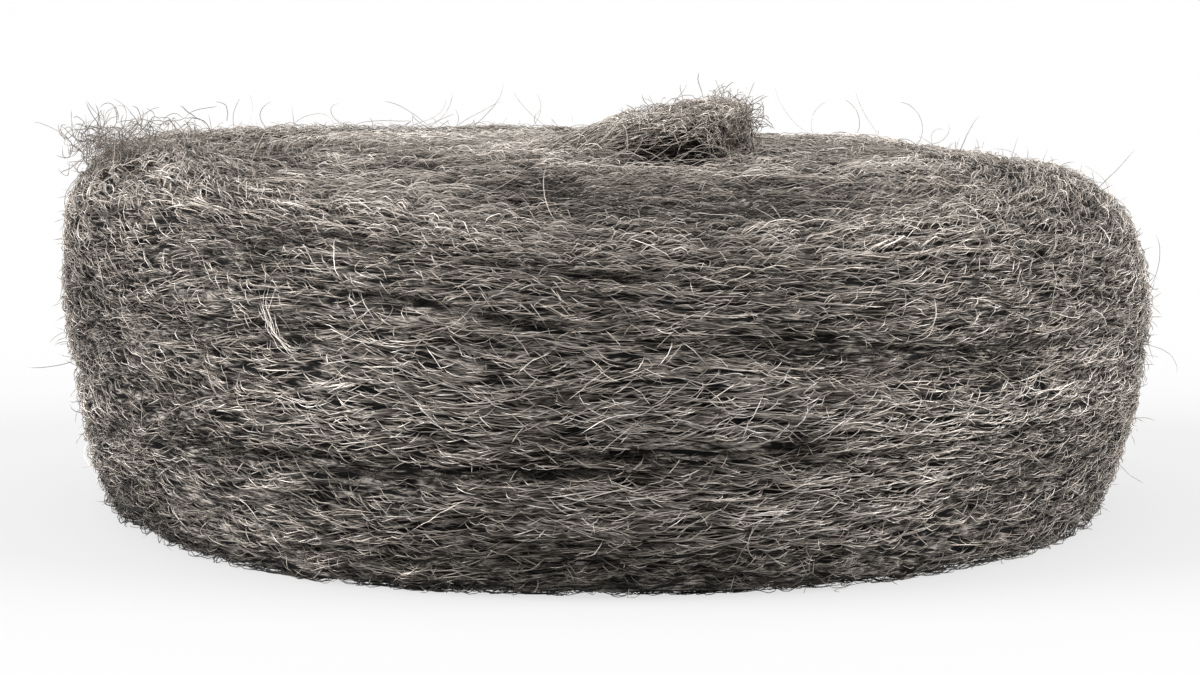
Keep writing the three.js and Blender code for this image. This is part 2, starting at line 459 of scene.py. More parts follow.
def strand_tones(rng, strands, bright=0.1):
    """Most strands are mid grey, some dark, and a few bright."""
    tone = rng.beta(2.2, 2.6, strands) * 0.75
    return np.where(rng.uniform(0, 1, strands) < bright, rng.uniform(0.74, 0.90, strands), tone)


patch_noise = wrapped_noise(11, 6, SEED + 7)


def depth_shade(angle, lap, lift):
    """Painted shade, from 0, deep in a furrow, to 1, right out on the surface: deeper strands, furrows and the
    foot are painted darker, with a random patchiness.
    """
    depth = 0.6 * lift + 0.6 * np.minimum(relief(angle, lap), 0.5) + 0.25 * patch_noise(angle, lap)
    in_front_or_behind = np.abs(np.sin(angle))  # there the foot is darkest, since no light reaches it
    foot = (0.05 + 0.5 * in_front_or_behind) * np.exp(-(((lap - FOOT) / 1.6) ** 2))
    foot += 0.28 * np.exp(-(((lap - FOOT) / 11) ** 2))  # the bench shades the wool over it too
    return np.clip(0.615 + 0.57 * depth - foot, 0.01, 0.98)


# %% [markdown]
# ## Where strands lie
#
# More strands are needed where the roll is wider round, or its flank would be thin and its eye crowded.
# Places drawn at random would also bunch up and leave bare patches. So the places are stepped evenly, in
# shares of the roll's area, and each is then moved a little off its mark.

# %% Scatter places over the roll
EVEN_STEPS = (0.7548776662, 0.5698402910)  # multiples of these two, less their whole parts, never bunch up
FRONT_REACH = 1.7  # how far to each side the front goes, in radians
EYE_GIRTH = 4.0  # strands near the axis turn as if they were this far from it


def scatter(rng, count, laps, front_share):
    """Spreads places evenly by area over some laps. A share of them go in front only, where it shows most."""
    reach = np.linspace(*laps, 400)
    share = np.cumsum(np.maximum(np.interp(reach, ALONG, OUTLINE[:, 0]), 2.5))
    share = (share - share[0]) / (share[-1] - share[0])
    order = np.arange(count)[None, :] * np.array(EVEN_STEPS)[:, None] + rng.uniform(0, 1, (2, 1))
    around, across = (order + rng.normal(0, 0.35, (2, count)) / math.sqrt(count)) % 1
    in_front = rng.uniform(0, 1, count) < front_share
    angle = np.where(in_front, FRONT + (2 * around - 1) * FRONT_REACH, around * TAU)
    return angle, np.interp(across, share, reach)


def girth_at(lap):
    return np.maximum(np.interp(np.clip(lap, 0, OUTLINE_LENGTH), ALONG, OUTLINE[:, 0]), EYE_GIRTH)


def drape(angle, lap, lift, floor_gap):
    """Lays points on the roll, but never down through the bench."""
    lap = np.clip(lap, 0.3, OUTLINE_LENGTH - 0.3)
    paths = place(angle, lap, lift)
    paths[..., 2] = np.maximum(paths[..., 2], floor_gap)
    return paths


def outward_at(angle, lap):
    step = place(angle, lap, 1.0) - place(angle, lap, 0.0)
    return unit(step)[:, None, :]


# %% [markdown]
# ## The combed layers
#
# Under the loose strands the ribbon is combed nearly straight. Its strands cling in narrow locks that weave
# past each other, and small lens-shaped gaps open between the locks. The strands of a lock share its weave,
# and each strays from it a little.

# %% Combed locks


def turn_across(rng, angle, lap, share):
    """Turns some strands on top to lie straight across the roll, from left to right. There are fewer of them
    to the left and right, where they would cross the rim."""
    straight = np.arctan2(-np.cos(angle), np.abs(np.sin(angle)) * np.sign(-np.sin(angle) + 1e-9))
    straight = (straight + math.pi / 2) % math.pi - math.pi / 2
    kept = 1 - 0.85 * smoothstep(np.abs(girth_at(lap) * np.cos(angle)), 16, 40)
    return np.where(rng.uniform(0, 1, len(angle)) < share * kept, straight, 0.0)


def comb(name, seed, strands, laps, lifts, widths, lengths, per_lock=5, points=5,
         front_share=0.0, across=0.0):
    rng = np.random.default_rng(seed)
    locks = -(-strands // per_lock)
    lock = np.arange(strands) // per_lock
    lock_angle, lock_lap = scatter(rng, locks, laps, front_share)
    heading = rng.normal(0, 0.07, locks) + turn_across(rng, lock_angle, lock_lap, across)
    heading = (heading[lock] + rng.normal(0, 0.05, strands))[:, None]
    run = np.linspace(-0.5, 0.5, points)[None, :] * rng.uniform(*lengths, strands)[:, None]
    wave = rng.uniform(5.5, 10, locks)[lock][:, None]
    start = rng.uniform(0, TAU, locks)[lock][:, None] + rng.normal(0, 0.3, strands)[:, None]
    height = rng.uniform(0.12, 0.36, locks)[lock][:, None]
    angle = lock_angle[lock] + rng.normal(0, 1.8, strands) / girth_at(lock_lap)[lock]
    lap = lock_lap[lock] + rng.normal(0, 0.14, strands)
    weave = height * np.sin(run * TAU / wave + start) + rng.normal(0, 0.05, run.shape)
    laps_run = lap[:, None] + run * np.sin(heading) + weave * np.cos(heading)
    sideways = run * np.cos(heading) - weave * np.sin(heading)
    angles_run = angle[:, None] + sideways / girth_at(lap)[:, None]
    lift = rng.uniform(*lifts, locks)[lock] + rng.normal(0, 0.1, strands)
    lift = lift[:, None] + 0.15 * np.cos(run * TAU / wave + start) + rng.normal(0, 0.04, laps_run.shape)
    lift -= 0.5 * np.abs(np.linspace(-1, 1, points))[None, :] ** 5
    paths = drape(angles_run, laps_run, lift, widths[1] / 2 + 0.02)
    tone = np.clip(strand_tones(rng, strands, 0.02) + rng.normal(0, 0.10, locks)[lock], 0.03, 0.97)
    shade = depth_shade(angles_run, laps_run, lift)
    width = rng.uniform(*widths, strands)
    return strand_mesh(name, paths, width, outward_at(angle, lap), rng.uniform(0, TAU, strands), tone, shade)


# %% [markdown]
# ## The loose net
#
# What gives steel wool its look is the loose outer strands. Each shows for a few millimetres as a thin,
# springy arc, crosses its neighbours aslant, and dives back in. Together they make a net over the combed
# locks. An arc is drawn by steering: it takes short steps over the surface while its heading turns
# steadily, so it bends smoothly. On the upper left of the front many arcs run down to the right.

# %% Springy arcs
STEEP = -0.8  # which way the slanted arcs head, in radians from the winding


def arcs(name, seed, strands, laps, lifts, thickness, points=5, step=0.62, fan=0.45, bend=0.24, bright=0.25,
         lean=0.3, front_share=0.0, across=0.0, spring=1.0, slanted=0.0):
    rng = np.random.default_rng(seed)
    angle, lap = scatter(rng, strands, laps, front_share)
    sideways = lean * np.sin(turned(angle, FRONT)) * on_flank(lap)
    heading = np.clip(rng.normal(0, fan, strands), -1.15, 1.15) + sideways
    heading = heading + turn_across(rng, angle, lap, across)
    upper_left = np.clip(-1.3 * np.sin(turned(angle, FRONT)), 0, 1) * smoothstep(lap, WIDEST - 4, WIDEST + 8)
    steep = rng.uniform(0, 1, strands) < slanted * upper_left
    heading = np.where(steep, rng.normal(STEEP, 0.16, strands), heading)
    turning = rng.normal(0, bend, strands)[:, None] * (np.arange(points) - points / 2)[None, :]
    heading = heading[:, None] + turning + rng.normal(0, 0.06, (strands, points))
    length = rng.uniform(0.7, 1.4, strands)[:, None] * step
    run = np.cumsum(length * np.cos(heading), axis=1)
    climb = np.cumsum(length * np.sin(heading), axis=1)
    run -= run.mean(axis=1, keepdims=True)
    climb -= climb.mean(axis=1, keepdims=True)
    angles_run = angle[:, None] + run / girth_at(lap)[:, None]
    laps_run = lap[:, None] + climb
    hump = spring * (0.35 - 0.85 * np.linspace(-1, 1, points)[None, :] ** 2)
    lift = rng.uniform(*lifts, strands)[:, None] + hump
    paths = drape(angles_run, laps_run, lift, thickness[1] / 2 + 0.02)
    tone = strand_tones(rng, strands, bright)
    shade = depth_shade(angles_run, laps_run, lift)
    width = rng.uniform(*thickness, strands)
    return strand_mesh(name, paths, width, outward_at(angle, lap), rng.uniform(0, TAU, strands), tone, shade)


FLANK = (FOOT - 2, SHOULDER - 0.5)
TOP = (SHOULDER - 0.5, OUTLINE_LENGTH - 1)
UNDER = (2, FOOT)
DEEP, MIDDLE = (-0.95, -0.45), (-0.5, 0.0)
pieces = [
    comb("flank_deep_locks", SEED + 10, 6400, FLANK, DEEP, (0.13, 0.22), (5, 8), points=4, front_share=0.1),
    comb("flank_outer_locks", SEED + 11, 9800, FLANK, MIDDLE, (0.08, 0.125), (4, 8), front_share=0.15),
    comb("top_deep_locks", SEED + 12, 2000, TOP, DEEP, (0.14, 0.24), (4, 7), points=4, across=0.6),
    comb("top_outer_locks", SEED + 13, 3400, TOP, MIDDLE, (0.08, 0.125), (4, 8), across=0.8),
    comb("underside_locks", SEED + 14, 900, UNDER, (-0.6, -0.3), (0.15, 0.28), (6, 10), points=4),
    arcs("flank_low_net", SEED + 20, 8800, FLANK, (-0.5, -0.05), (0.07, 0.10), fan=0.30, bright=0.03,
         front_share=0.2, spring=0.7),
    arcs("flank_high_net", SEED + 21, 9900, FLANK, (-0.25, 0.15), (0.06, 0.09), fan=0.42, bright=0.10,
         front_share=0.2, slanted=0.5, spring=0.75),
    arcs("flank_long_net", SEED + 22, 360, FLANK, (-0.1, 0.3), (0.06, 0.085), points=9, step=0.7, fan=0.4,
         bend=0.1, bright=0.15, front_share=0.2, slanted=0.6, spring=0.8),
    arcs("top_net", SEED + 23, 3500, TOP, (-0.35, 0.1), (0.065, 0.09), fan=0.35, bright=0.05, across=0.85,
         spring=0.5),
    arcs("underside_net", SEED + 24, 200, UNDER, (-0.4, -0.1), (0.08, 0.1)),
]


# %% [markdown]
# ## The free end
#
# The ribbon's inner end stands up out of the eye of the roll. It rises slowly from the left and stops short
# on the right in cut, curly tips, above a dark pocket. Inside it is packed like the roll, so it gets a
# heart of its own: a ball, drawn out along a bent spine. Strands combed along it, arcs across it and wild
# ones out of it go on top.

# %% The free end's core
LOCK_SPINE = np.array([(-11, -2.5, 32.4), (13.8, -3, 41.6), (14.8, -3.5, 35.2)])
LOCK_WIDTH = 12.0
LOCK_THICKNESS = 6.0
LOCK_LENGTH = 29.0
LOCK_ROUNDING = 3.6  # the edges of its blunt end fall back this far behind the middle
CORE_SEGMENTS = 40
CORE_RINGS = 28
CORE_DEPTH = 0.35


def bent(spine, t):
    t = np.asarray(t)[..., None]
    return (1 - t) ** 2 * spine[0] + 2 * (1 - t) * t * spine[1] + t**2 * spine[2]


def lock_swell(along):
    fullness = 0.22 + 0.78 * fade(np.clip(along / 0.82, 0, 1))
    return fullness * np.sqrt(np.clip(1 - (2 * along - 1) ** 4, 0, 1))


def on_lock(along, around, lift):
    """Where a point of the free end is: how far along it, the angle around it and how far out of it."""
    along = np.clip(along, 0.0, 1.0)
    swell = lock_swell(along)
    lumps = 0.3 * np.sin(3 * around + 8 * along) + 0.2 * np.sin(5 * around - 13 * along)
    at = bent(LOCK_SPINE, along)
    at[..., 0] -= LOCK_ROUNDING * np.cos(around) ** 2 * along**3
    at[..., 1] += np.cos(around) * (swell * (LOCK_WIDTH / 2 + lumps) + lift)
    at[..., 2] += np.sin(around) * (swell * (LOCK_THICKNESS / 2 + lumps) + lift)
    return at


def model_lock_core():
    core = add_ball("free_end_core", CORE_SEGMENTS, CORE_RINGS, 1)
    x, y, z = points_of(core.data)
    along, around = np.arccos(np.clip(-z, -1, 1)) / math.pi, np.arctan2(y, x)
    laid = on_lock(along, around, -CORE_DEPTH)
    poles = (along < POLE) | (along > 1 - POLE)
    laid[poles] = bent(LOCK_SPINE, along[poles])
    return lay_body(core, laid, laid * (1 / STRETCH, 1, 1))


lock_core = model_lock_core()

# %% The free end's strands
FACING = np.array([0.1, -0.5, 0.86])  # free strands turn a side this way, since few of them run along it
LOCK_TURN = 5.0  # millimetres round the free end for each radian
OVERHANG_TOP = 37.3  # below this height the free end shades itself over the pocket
OVERHANG_FADE = 2.2


def lock_strands(name, seed, strands, points, step, fan, lifts, thickness, bright):
    rng = np.random.default_rng(seed)
    along = rng.uniform(0.05, 0.97, strands) ** 0.85
    around = rng.uniform(-0.3 * math.pi, 1.3 * math.pi, strands)
    heading = rng.normal(0, fan, strands)[:, None] + rng.normal(0, 0.14, strands)[:, None] * np.arange(points)
    waver = 0.25 * np.sin(np.arange(points) * rng.uniform(0.8, 1.6, strands)[:, None] + around[:, None] * 9)
    run = np.cumsum(step * np.cos(heading + waver), axis=1) / LOCK_LENGTH
    climb = np.cumsum(step * np.sin(heading + waver), axis=1) / LOCK_TURN
    middle = (points - 1) // 2
    run = along[:, None] + run - run[:, middle : middle + 1]
    turn = around[:, None] + climb - climb[:, middle : middle + 1]
    lift = rng.uniform(*lifts, strands)[:, None] + 0.2 - 0.5 * np.linspace(-1, 1, points)[None, :] ** 2
    paths = on_lock(run, turn, lift)
    past_end = np.maximum(run - 1.0, 0)  # strands that run off the end keep going, and droop
    paths[..., 0] += past_end * LOCK_LENGTH * 0.9
    paths[..., 2] -= past_end * LOCK_LENGTH * rng.uniform(-0.3, 0.9, strands)[:, None]
    over_pocket = np.exp(-(((paths[..., 0] - POCKET_MIDDLE[0]) / POCKET_REACH[0]) ** 4))
    overhang = over_pocket * np.clip((OVERHANG_TOP - paths[..., 2]) / OVERHANG_FADE, 0, 1)
    # Painted shade: the free end's strands are painted darker on its underside, the deeper they lie, towards
    # its blunt end and under its overhang over the pocket.
    shade = np.clip(0.63 - 0.10 * run + 0.08 * np.sin(turn) + 0.3 * lift - 0.4 * overhang, 0.04, 0.80)
    tone = strand_tones(rng, strands, bright)
    width = rng.uniform(*thickness, strands)
    return strand_mesh(name, paths, width, FACING, rng.uniform(0, TAU, strands), tone, shade)


def steered(rng, start, heading, points, step, wobble, curl, pull=0.0):
    """Strands that start at given points and wander through space, each with a curl of its own."""
    strands = len(start)
    axis = unit(rng.normal(0, 1, (strands, 3)))
    turn = (rng.choice([-1, 1], strands) * rng.uniform(0.35, 1.3, strands) * curl)[:, None]
    path = np.zeros((strands, points, 3))
    path[:, 0] = start
    for k in range(1, points):
        heading = unit(heading + np.cross(axis, heading) * turn + rng.normal(0, wobble, (strands, 3)) + pull)
        path[:, k] = path[:, k - 1] + heading * step * rng.uniform(0.75, 1.25, strands)[:, None]
    return path


BENCH_GAP = 0.12  # how far free strands stay above the bench


def loose_strands(name, rng, path, thickness, shade, bright=0.1, blunt=5.0):
    strands = len(path)
    path[..., 2] = np.maximum(path[..., 2], BENCH_GAP)
    width, tone = rng.uniform(*thickness, strands), strand_tones(rng, strands, bright)
    shade = np.broadcast_to(shade, path.shape[:2])
    return strand_mesh(name, path, width, FACING, rng.uniform(0, TAU, strands), tone, shade, blunt)


def wild_ends(seed, strands):
    """Cut tips that fan out of the free end's blunt end, and a few that spring up along its back."""
    rng = np.random.default_rng(seed)
    at_end = rng.uniform(0, 1, strands) < 0.4
    along = np.where(at_end, rng.uniform(0.8, 0.99, strands), rng.uniform(0.25, 0.9, strands))
    around = rng.uniform(-0.1 * math.pi, 1.1 * math.pi, strands)
    start = on_lock(along, around, -0.2)
    heading = on_lock(along, around, 1.0) - on_lock(along, around, 0.0)
    outward = np.where(at_end, rng.uniform(0.2, 0.9, strands), rng.uniform(0.05, 0.45, strands))
    along_it = np.array([0.7, 0, 0.05]) * rng.choice([-1, 1, 1], strands)[:, None]  # most head for the tip
    heading = unit(heading * outward[:, None] + along_it)
    heading = unit(heading + rng.normal(0, 0.35, (strands, 3)))
    path = steered(rng, start, heading, 9, 0.42, 0.18, 0.55)
    return loose_strands("free_end_tips", rng, path, (0.06, 0.09), 0.5, 0.08, blunt=9.0)


INSIDE_THE_ROLL = 20


def lock_top(x, y):
    """How high the free end's upper side is over a place on the roll, or inside the roll where it isn't."""
    along = np.clip((x - LOCK_SPINE[0, 0]) / (LOCK_SPINE[2, 0] - LOCK_SPINE[0, 0]), 0, 1)
    along = along - 0.35 * along * (1 - along)  # the spine is drawn out towards its start
    at, swell = bent(LOCK_SPINE, along), lock_swell(along)
    aside = (y - at[..., 1]) / (swell * LOCK_WIDTH / 2 + 1e-6)
    return np.maximum(at[..., 2] + swell * LOCK_THICKNESS / 2 * (1 - 0.8 * aside**2), INSIDE_THE_ROLL)


ROOTS_MIDDLE = np.array([-9.0, -2.8])  # where they start, seen from above
ROOTS_SPREAD = (4.6, 3.4)


def roots(name, seed, strands, points=7, step=0.75, blend=0.7):
    """Strands that run from the top of the roll up on to the free end, so that it grows out of the roll."""
    rng = np.random.default_rng(seed)
    start = ROOTS_MIDDLE + np.clip(rng.normal(0, 1, (strands, 2)), -2.4, 2.4) * ROOTS_SPREAD
    heading = rng.normal(0, 0.3, strands)[:, None] + rng.normal(0, 0.12, strands)[:, None] * np.arange(points)
    heading += rng.normal(0, 0.06, heading.shape)
    x = start[:, :1] + np.cumsum(step * np.cos(heading), axis=1)
    y = start[:, 1:] + np.cumsum(step * np.sin(heading), axis=1)
    angle, radius = np.arctan2(y, x), np.hypot(x, y)
    lap = np.interp(-radius, -OUTLINE[LAST_SHOULDER:, 0], ALONG[LAST_SHOULDER:])
    roll_top = place(angle, lap, 0.0)[..., 2]
    z = blend * np.logaddexp(roll_top / blend, lock_top(x, y) / blend)
    lift = rng.uniform(-0.3, 0.25, strands)[:, None] + 0.2 - 0.6 * np.linspace(-1, 1, points)[None, :] ** 2
    path = np.stack([x, y, z + lift], axis=-1)
    width, tone = rng.uniform(0.065, 0.1, strands), strand_tones(rng, strands, 0.06)
    # Painted shade: the roots are painted darker the deeper they lie and in the hollow, with a random
    # patchiness.
    shade = 0.58 + 0.35 * lift + 0.1 * patch_noise(angle, lap) - 0.35 * pocket(angle, lap)
    shade = np.clip(shade, 0.05, 0.8)
    return strand_mesh(name, path, width, FACING, rng.uniform(0, TAU, strands), tone, shade)


def end_fringe(seed, strands):
    """Curls that hang back on to the roll from the free end's blunt end and its front edge."""
    rng = np.random.default_rng(seed)
    along = rng.uniform(0.55, 0.99, strands)
    around = rng.uniform(-0.45 * math.pi, 0.25 * math.pi, strands)
    around += math.pi * (rng.uniform(0, 1, strands) < 0.15)
    start = on_lock(along, -np.abs(around), 0.0)
    start[:, 1] -= 0.3
    heading = unit(rng.normal(0, 0.6, (strands, 3)) + (0.5, -0.2, -0.15))
    path = steered(rng, start, heading, 9, 0.45, 0.16, 0.45, pull=np.array([0, 0, -0.03]))
    return loose_strands("free_end_fringe", rng, path, (0.06, 0.09), 0.42, 0.05)


LOOPS_HEIGHT = 34.9


def pocket_loops(seed, strands, points=11):
    """Springy loops that arch over the pocket in front of the free end."""
    rng = np.random.default_rng(seed)
    t = np.linspace(0, 1, points)[None, :, None]
    start_x, start_y = rng.uniform(-4, 10, strands), rng.uniform(-17, -12, strands)
    start = np.stack([start_x, start_y, np.full(strands, LOOPS_HEIGHT)], axis=-1)
    span_x, span_y = rng.uniform(3.5, 8, strands), rng.normal(0, 2.0, strands)
    span = np.stack([span_x, span_y, rng.normal(0, 0.4, strands)], axis=-1)
    rise = rng.uniform(0.4, 1.8, strands)[:, None, None] * np.array([0, 0, 1.0])
    shake = rng.normal(0, 0.05, (strands, points, 3))
    path = start[:, None] + span[:, None] * t + rise * 4 * t * (1 - t) + shake
    return loose_strands("pocket_loops", rng, path, (0.07, 0.095), 0.5, 0.1)


TUFT_MIDDLE = np.array([-48.9, -6.0, 36.2])
TUFT_SPREAD = (1.9, 2.8, 1.0)
TUFT_TRAIL = np.array([9.0, 0, 1.2])  # a few of its curls trail off this way


def shoulder_tuft(seed, strands):
    """A tuft of curls on the left shoulder, where the ribbon's outer edge has come loose."""
    rng = np.random.default_rng(seed)
    start = TUFT_MIDDLE + np.clip(rng.normal(0, 1, (strands, 3)), -2, 2) * TUFT_SPREAD
    trailing = rng.uniform(0, 1, strands) < 0.35
    start[trailing] += rng.uniform(0, 1, (trailing.sum(), 1)) * TUFT_TRAIL
    heading = unit(rng.normal(0, 1, (strands, 3)) + (0.1, 0, 0.25))
    path = steered(rng, start, heading, 9, 0.48, 0.18, 0.5)
    return loose_strands("shoulder_tuft", rng, path, (0.06, 0.09), 0.45, 0.05)


TANGLE_ANGLE = FRONT - math.radians(32.4)
TANGLE_LAP = FOOT + 21.8
TANGLE_REACH = 3.9  # half of its length
TANGLE_SLOPE = -0.6


def bright_tangle(seed, strands, points=9):
    """A bunch of bright strands, loose across the left of the front: tight in its middle, then frayed."""
    rng = np.random.default_rng(seed)
    t = np.linspace(-1, 1, points)[None, :] * rng.uniform(0.55, 1, (strands, 1))
    t = t + rng.uniform(-0.3, 0.3, (strands, 1))
    fray = rng.normal(0, 1, (2, strands, 1)) * (0.16 + 0.9 * np.abs(t) ** 3)
    slope = TANGLE_SLOPE + 0.25 * t
    wave = 0.12 * np.sin(5 * t + rng.uniform(0, TAU, (strands, 1)))
    run = TANGLE_REACH * t * np.cos(slope) + fray[0] - wave * np.sin(slope)
    climb = TANGLE_REACH * t * np.sin(slope) + fray[1] + wave * np.cos(slope)
    angles_run = TANGLE_ANGLE + run / ROLL_RADIUS
    laps_run = TANGLE_LAP + climb
    lift = 0.45 - 0.8 * np.linspace(-1, 1, points)[None, :] ** 4 + rng.normal(0, 0.12, (strands, 1))
    paths = place(angles_run, laps_run, lift)
    tone = rng.uniform(0.6, 0.8, strands)
    shade = np.full((strands, points), 0.85)
    width = rng.uniform(0.05, 0.075, strands)
    outward = outward_at(angles_run[:, points // 2], laps_run[:, points // 2])
    return strand_mesh("bright_tangle", paths, width, outward, np.zeros(strands), tone, shade)


brown_pieces = [
    lock_strands("free_end_locks", SEED + 30, 650, 6, 1.0, 0.3, (-0.25, 0.15), (0.08, 0.13), 0.02),
    lock_strands("free_end_net", SEED + 31, 900, 6, 0.6, 0.6, (-0.05, 0.45), (0.065, 0.095), 0.08),
    wild_ends(SEED + 32, 560),
    end_fringe(SEED + 37, 240),
    shoulder_tuft(SEED + 34, 380),
]
pieces += [roots("free_end_roots", SEED + 36, 600), pocket_loops(SEED + 33, 16), bright_tangle(SEED + 35, 9)]

# %% [markdown]
# ## Stray strands
#
# A roll of steel wool has a halo of strays: strands that have sprung out of the surface and curl through
# the air before they go back in, or end in a cut tip. They make the outline fuzzy.

# %% Curly strays and short fuzz


def strays(name, seed, strands, laps, points, step, curl, rise, thickness, wobble=0.05, back=0.04):
    rng = np.random.default_rng(seed)
    angle, lap = scatter(rng, strands, laps, 0.0)
    start, out = place(angle, lap, -0.3), outward_at(angle, lap)[:, 0]
    round_the_roll = np.stack([-np.sin(angle), np.cos(angle), np.zeros(strands)], axis=-1)
    heading = round_the_roll * rng.choice([-1, 1], strands)[:, None]
    heading += out * rng.uniform(*rise, strands)[:, None]
    heading = unit(heading + rng.normal(0, 0.2, (strands, 3)))
    path = steered(rng, start, heading, points, step, wobble, curl, pull=-back * out)
    return loose_strands(name, rng, path, thickness, 0.55, 0.03)


pieces += [
    strays("curly_strays", SEED + 40, 320, (FOOT, OUTLINE_LENGTH - 6), 11, 0.7, 0.26, (0.05, 0.4),
           (0.055, 0.08), back=0.13),
    strays("rim_strays", SEED + 42, 360, (SHOULDER - 9, SHOULDER + 12), 12, 0.75, 0.18, (0.05, 0.35),
           (0.055, 0.08), back=0.13),
    strays("short_fuzz", SEED + 41, 2700, (FOOT - 1, SHOULDER + 1), 5, 0.5, 0.5, (0.2, 1.3), (0.05, 0.07)),
]
total = made["triangles"] + 2 * (HEART_SEGMENTS * (HEART_RINGS - 1) + CORE_SEGMENTS * (CORE_RINGS - 1))
print(made["strands"], "strands;", total, "triangles in all")

# %% [markdown]
# ## The finish of a strand
#
# Steel wool is bare, lightly oiled steel: grey, with a warm cast where it has begun to tarnish. Up close each
# strand is a row of small glints. The finish is metal with a middling roughness. Its colour runs from dark to
# bright steel by the strand's own lightness, and is painted darker with depth, as painted shade for the shadow
# deep in the wool, in its furrows and round the foot.

# %% Strand finish


def new_material(name):
    material = bpy.data.materials.new(name)
    material.use_nodes = True
    nodes = material.node_tree.nodes
    return material, nodes, material.node_tree.links, nodes["Principled BSDF"]


def ramp(nodes, stops):
    node = nodes.new("ShaderNodeValToRGB")
    elements = node.color_ramp.elements
    while len(elements) > 1:
        elements.remove(elements[-1])
    elements[0].position, elements[0].color = stops[0][0], (*stops[0][1], 1)
    for position, colour in stops[1:]:
        elements.new(position).color = (*colour, 1)
    return node


def multiply(nodes, links, first, second):
    mix = nodes.new("ShaderNodeMix")
    mix.data_type = "RGBA"
    mix.blend_type = "MULTIPLY"
    mix.inputs["Factor"].default_value = 1.0
    links.new(first, mix.inputs["A"])
    links.new(second, mix.inputs["B"])
    return mix.outputs["Result"]


# Stops from the darkest strands to the brightest, and last the painted shade, from the depths of the wool to
# its surface.
GREY_STEEL = [
    (0.0, (0.16, 0.139, 0.121)),
    (0.30, (0.385, 0.349, 0.315)),
    (0.40, (0.43, 0.399, 0.368)),
    (0.55, (0.53, 0.478, 0.428)),
    (0.73, (0.57, 0.530, 0.490)),
    (0.80, (0.63, 0.594, 0.555)),
    (1.0, (0.74, 0.718, 0.688)),
]
TARNISHED_STEEL = [
    (0.0, (0.15, 0.131, 0.115)),
    (0.35, (0.33, 0.296, 0.264)),
    (0.70, (0.50, 0.452, 0.405)),
    (0.80, (0.66, 0.605, 0.550)),
    (1.0, (0.84, 0.79, 0.74)),
]
# Painted shade: the strands' colour is multiplied by this, near black deep in the wool and white at its
# surface.
PAINTED_DEPTH_SHADE = [
    (0.0, (0.015, 0.013, 0.012)),
    (0.28, (0.10, 0.092, 0.084)),
    (0.50, (0.48, 0.462, 0.442)),
    (0.70, (0.88, 0.875, 0.87)),
    (0.85, (1.0, 1.0, 1.0)),
]


def strand_finish(name, tones):
    material, nodes, links, shader = new_material(name)
    where = nodes.new("ShaderNodeUVMap")
    where.uv_map = "strand"
    split = nodes.new("ShaderNodeSeparateXYZ")
    links.new(where.outputs["UV"], split.inputs["Vector"])
    steel, depth = ramp(nodes, tones), ramp(nodes, PAINTED_DEPTH_SHADE)
    links.new(split.outputs["X"], steel.inputs["Fac"])
    links.new(split.outputs["Y"], depth.inputs["Fac"])
    shaded = multiply(nodes, links, steel.outputs["Color"], depth.outputs["Color"])
    links.new(shaded, shader.inputs["Base Color"])
    shader.inputs["Metallic"].default_value = 0.6
    shader.inputs["Roughness"].default_value = 0.45
    return material


crimped_steel = strand_finish("crimped_steel", GREY_STEEL)
tarnished_steel = strand_finish("tarnished_steel", TARNISHED_STEEL)
for piece in pieces:
    piece.data.materials.append(crimped_steel)
for piece in brown_pieces:
    piece.data.materials.append(tarnished_steel)

# %% [markdown]
# ## The finish of the heart
#
# Only slits of the heart show, and what they show is more strands, in deep shade, so its colours are painted
# dark, as painted shade. Its finish is streaks along the winding: noise that is drawn out along the strands
# and pinched across them, warped by a finer noise for the crimp, with near-black painted shade in the gaps
# between them. The same streaks raise a bump, so light catches on them.

# %% Heart finish


def heart_finish():
    material, nodes, links, shader = new_material("packed_wool")
    winding = nodes.new("ShaderNodeAttribute")
    winding.attribute_name = "winding"
    crimp = nodes.new("ShaderNodeTexNoise")
    crimp.inputs["Scale"].default_value = 1.6
    crimp.inputs["Detail"].default_value = 1
    links.new(winding.outputs["Vector"], crimp.inputs["Vector"])
    warp = nodes.new("ShaderNodeVectorMath")
    warp.operation = "MULTIPLY_ADD"
    warp.inputs[1].default_value = (0.1, 0.1, 0.8)
    links.new(crimp.outputs["Color"], warp.inputs[0])
    links.new(winding.outputs["Vector"], warp.inputs[2])

    def streaks(scale, stops):
        noise = nodes.new("ShaderNodeTexNoise")
        noise.inputs["Scale"].default_value = scale
        noise.inputs["Detail"].default_value = 2
        links.new(warp.outputs["Vector"], noise.inputs["Vector"])
        tones = ramp(nodes, stops)
        links.new(noise.outputs["Fac"], tones.inputs["Fac"])
        return noise, tones

    # Painted shade: the heart's colours are far darker than the strands' steel, for the wool in deep shade,
    # and the gaps between its streaks are painted near black.
    _, gaps = streaks(2.4, [(0.44, (0.01, 0.01, 0.01)), (0.58, (1, 1, 1))])
    dark, middling, light = (0.010, 0.0085, 0.007), (0.11, 0.098, 0.087), (0.32, 0.288, 0.258)
    fibre, fibres = streaks(9.0, [(0.38, dark), (0.50, middling), (0.64, light)])
    both = multiply(nodes, links, fibres.outputs["Color"], gaps.outputs["Color"])
    links.new(both, shader.inputs["Base Color"])
    bump = nodes.new("ShaderNodeBump")
    bump.inputs["Strength"].default_value = 0.8
    bump.inputs["Distance"].default_value = 0.0002
    links.new(fibre.outputs["Fac"], bump.inputs["Height"])
    links.new(bump.outputs["Normal"], shader.inputs["Normal"])
    shader.inputs["Metallic"].default_value = 0.0
    shader.inputs["Specular IOR Level"].default_value = 0.1
    shader.inputs["Roughness"].default_value = 0.7
    return material


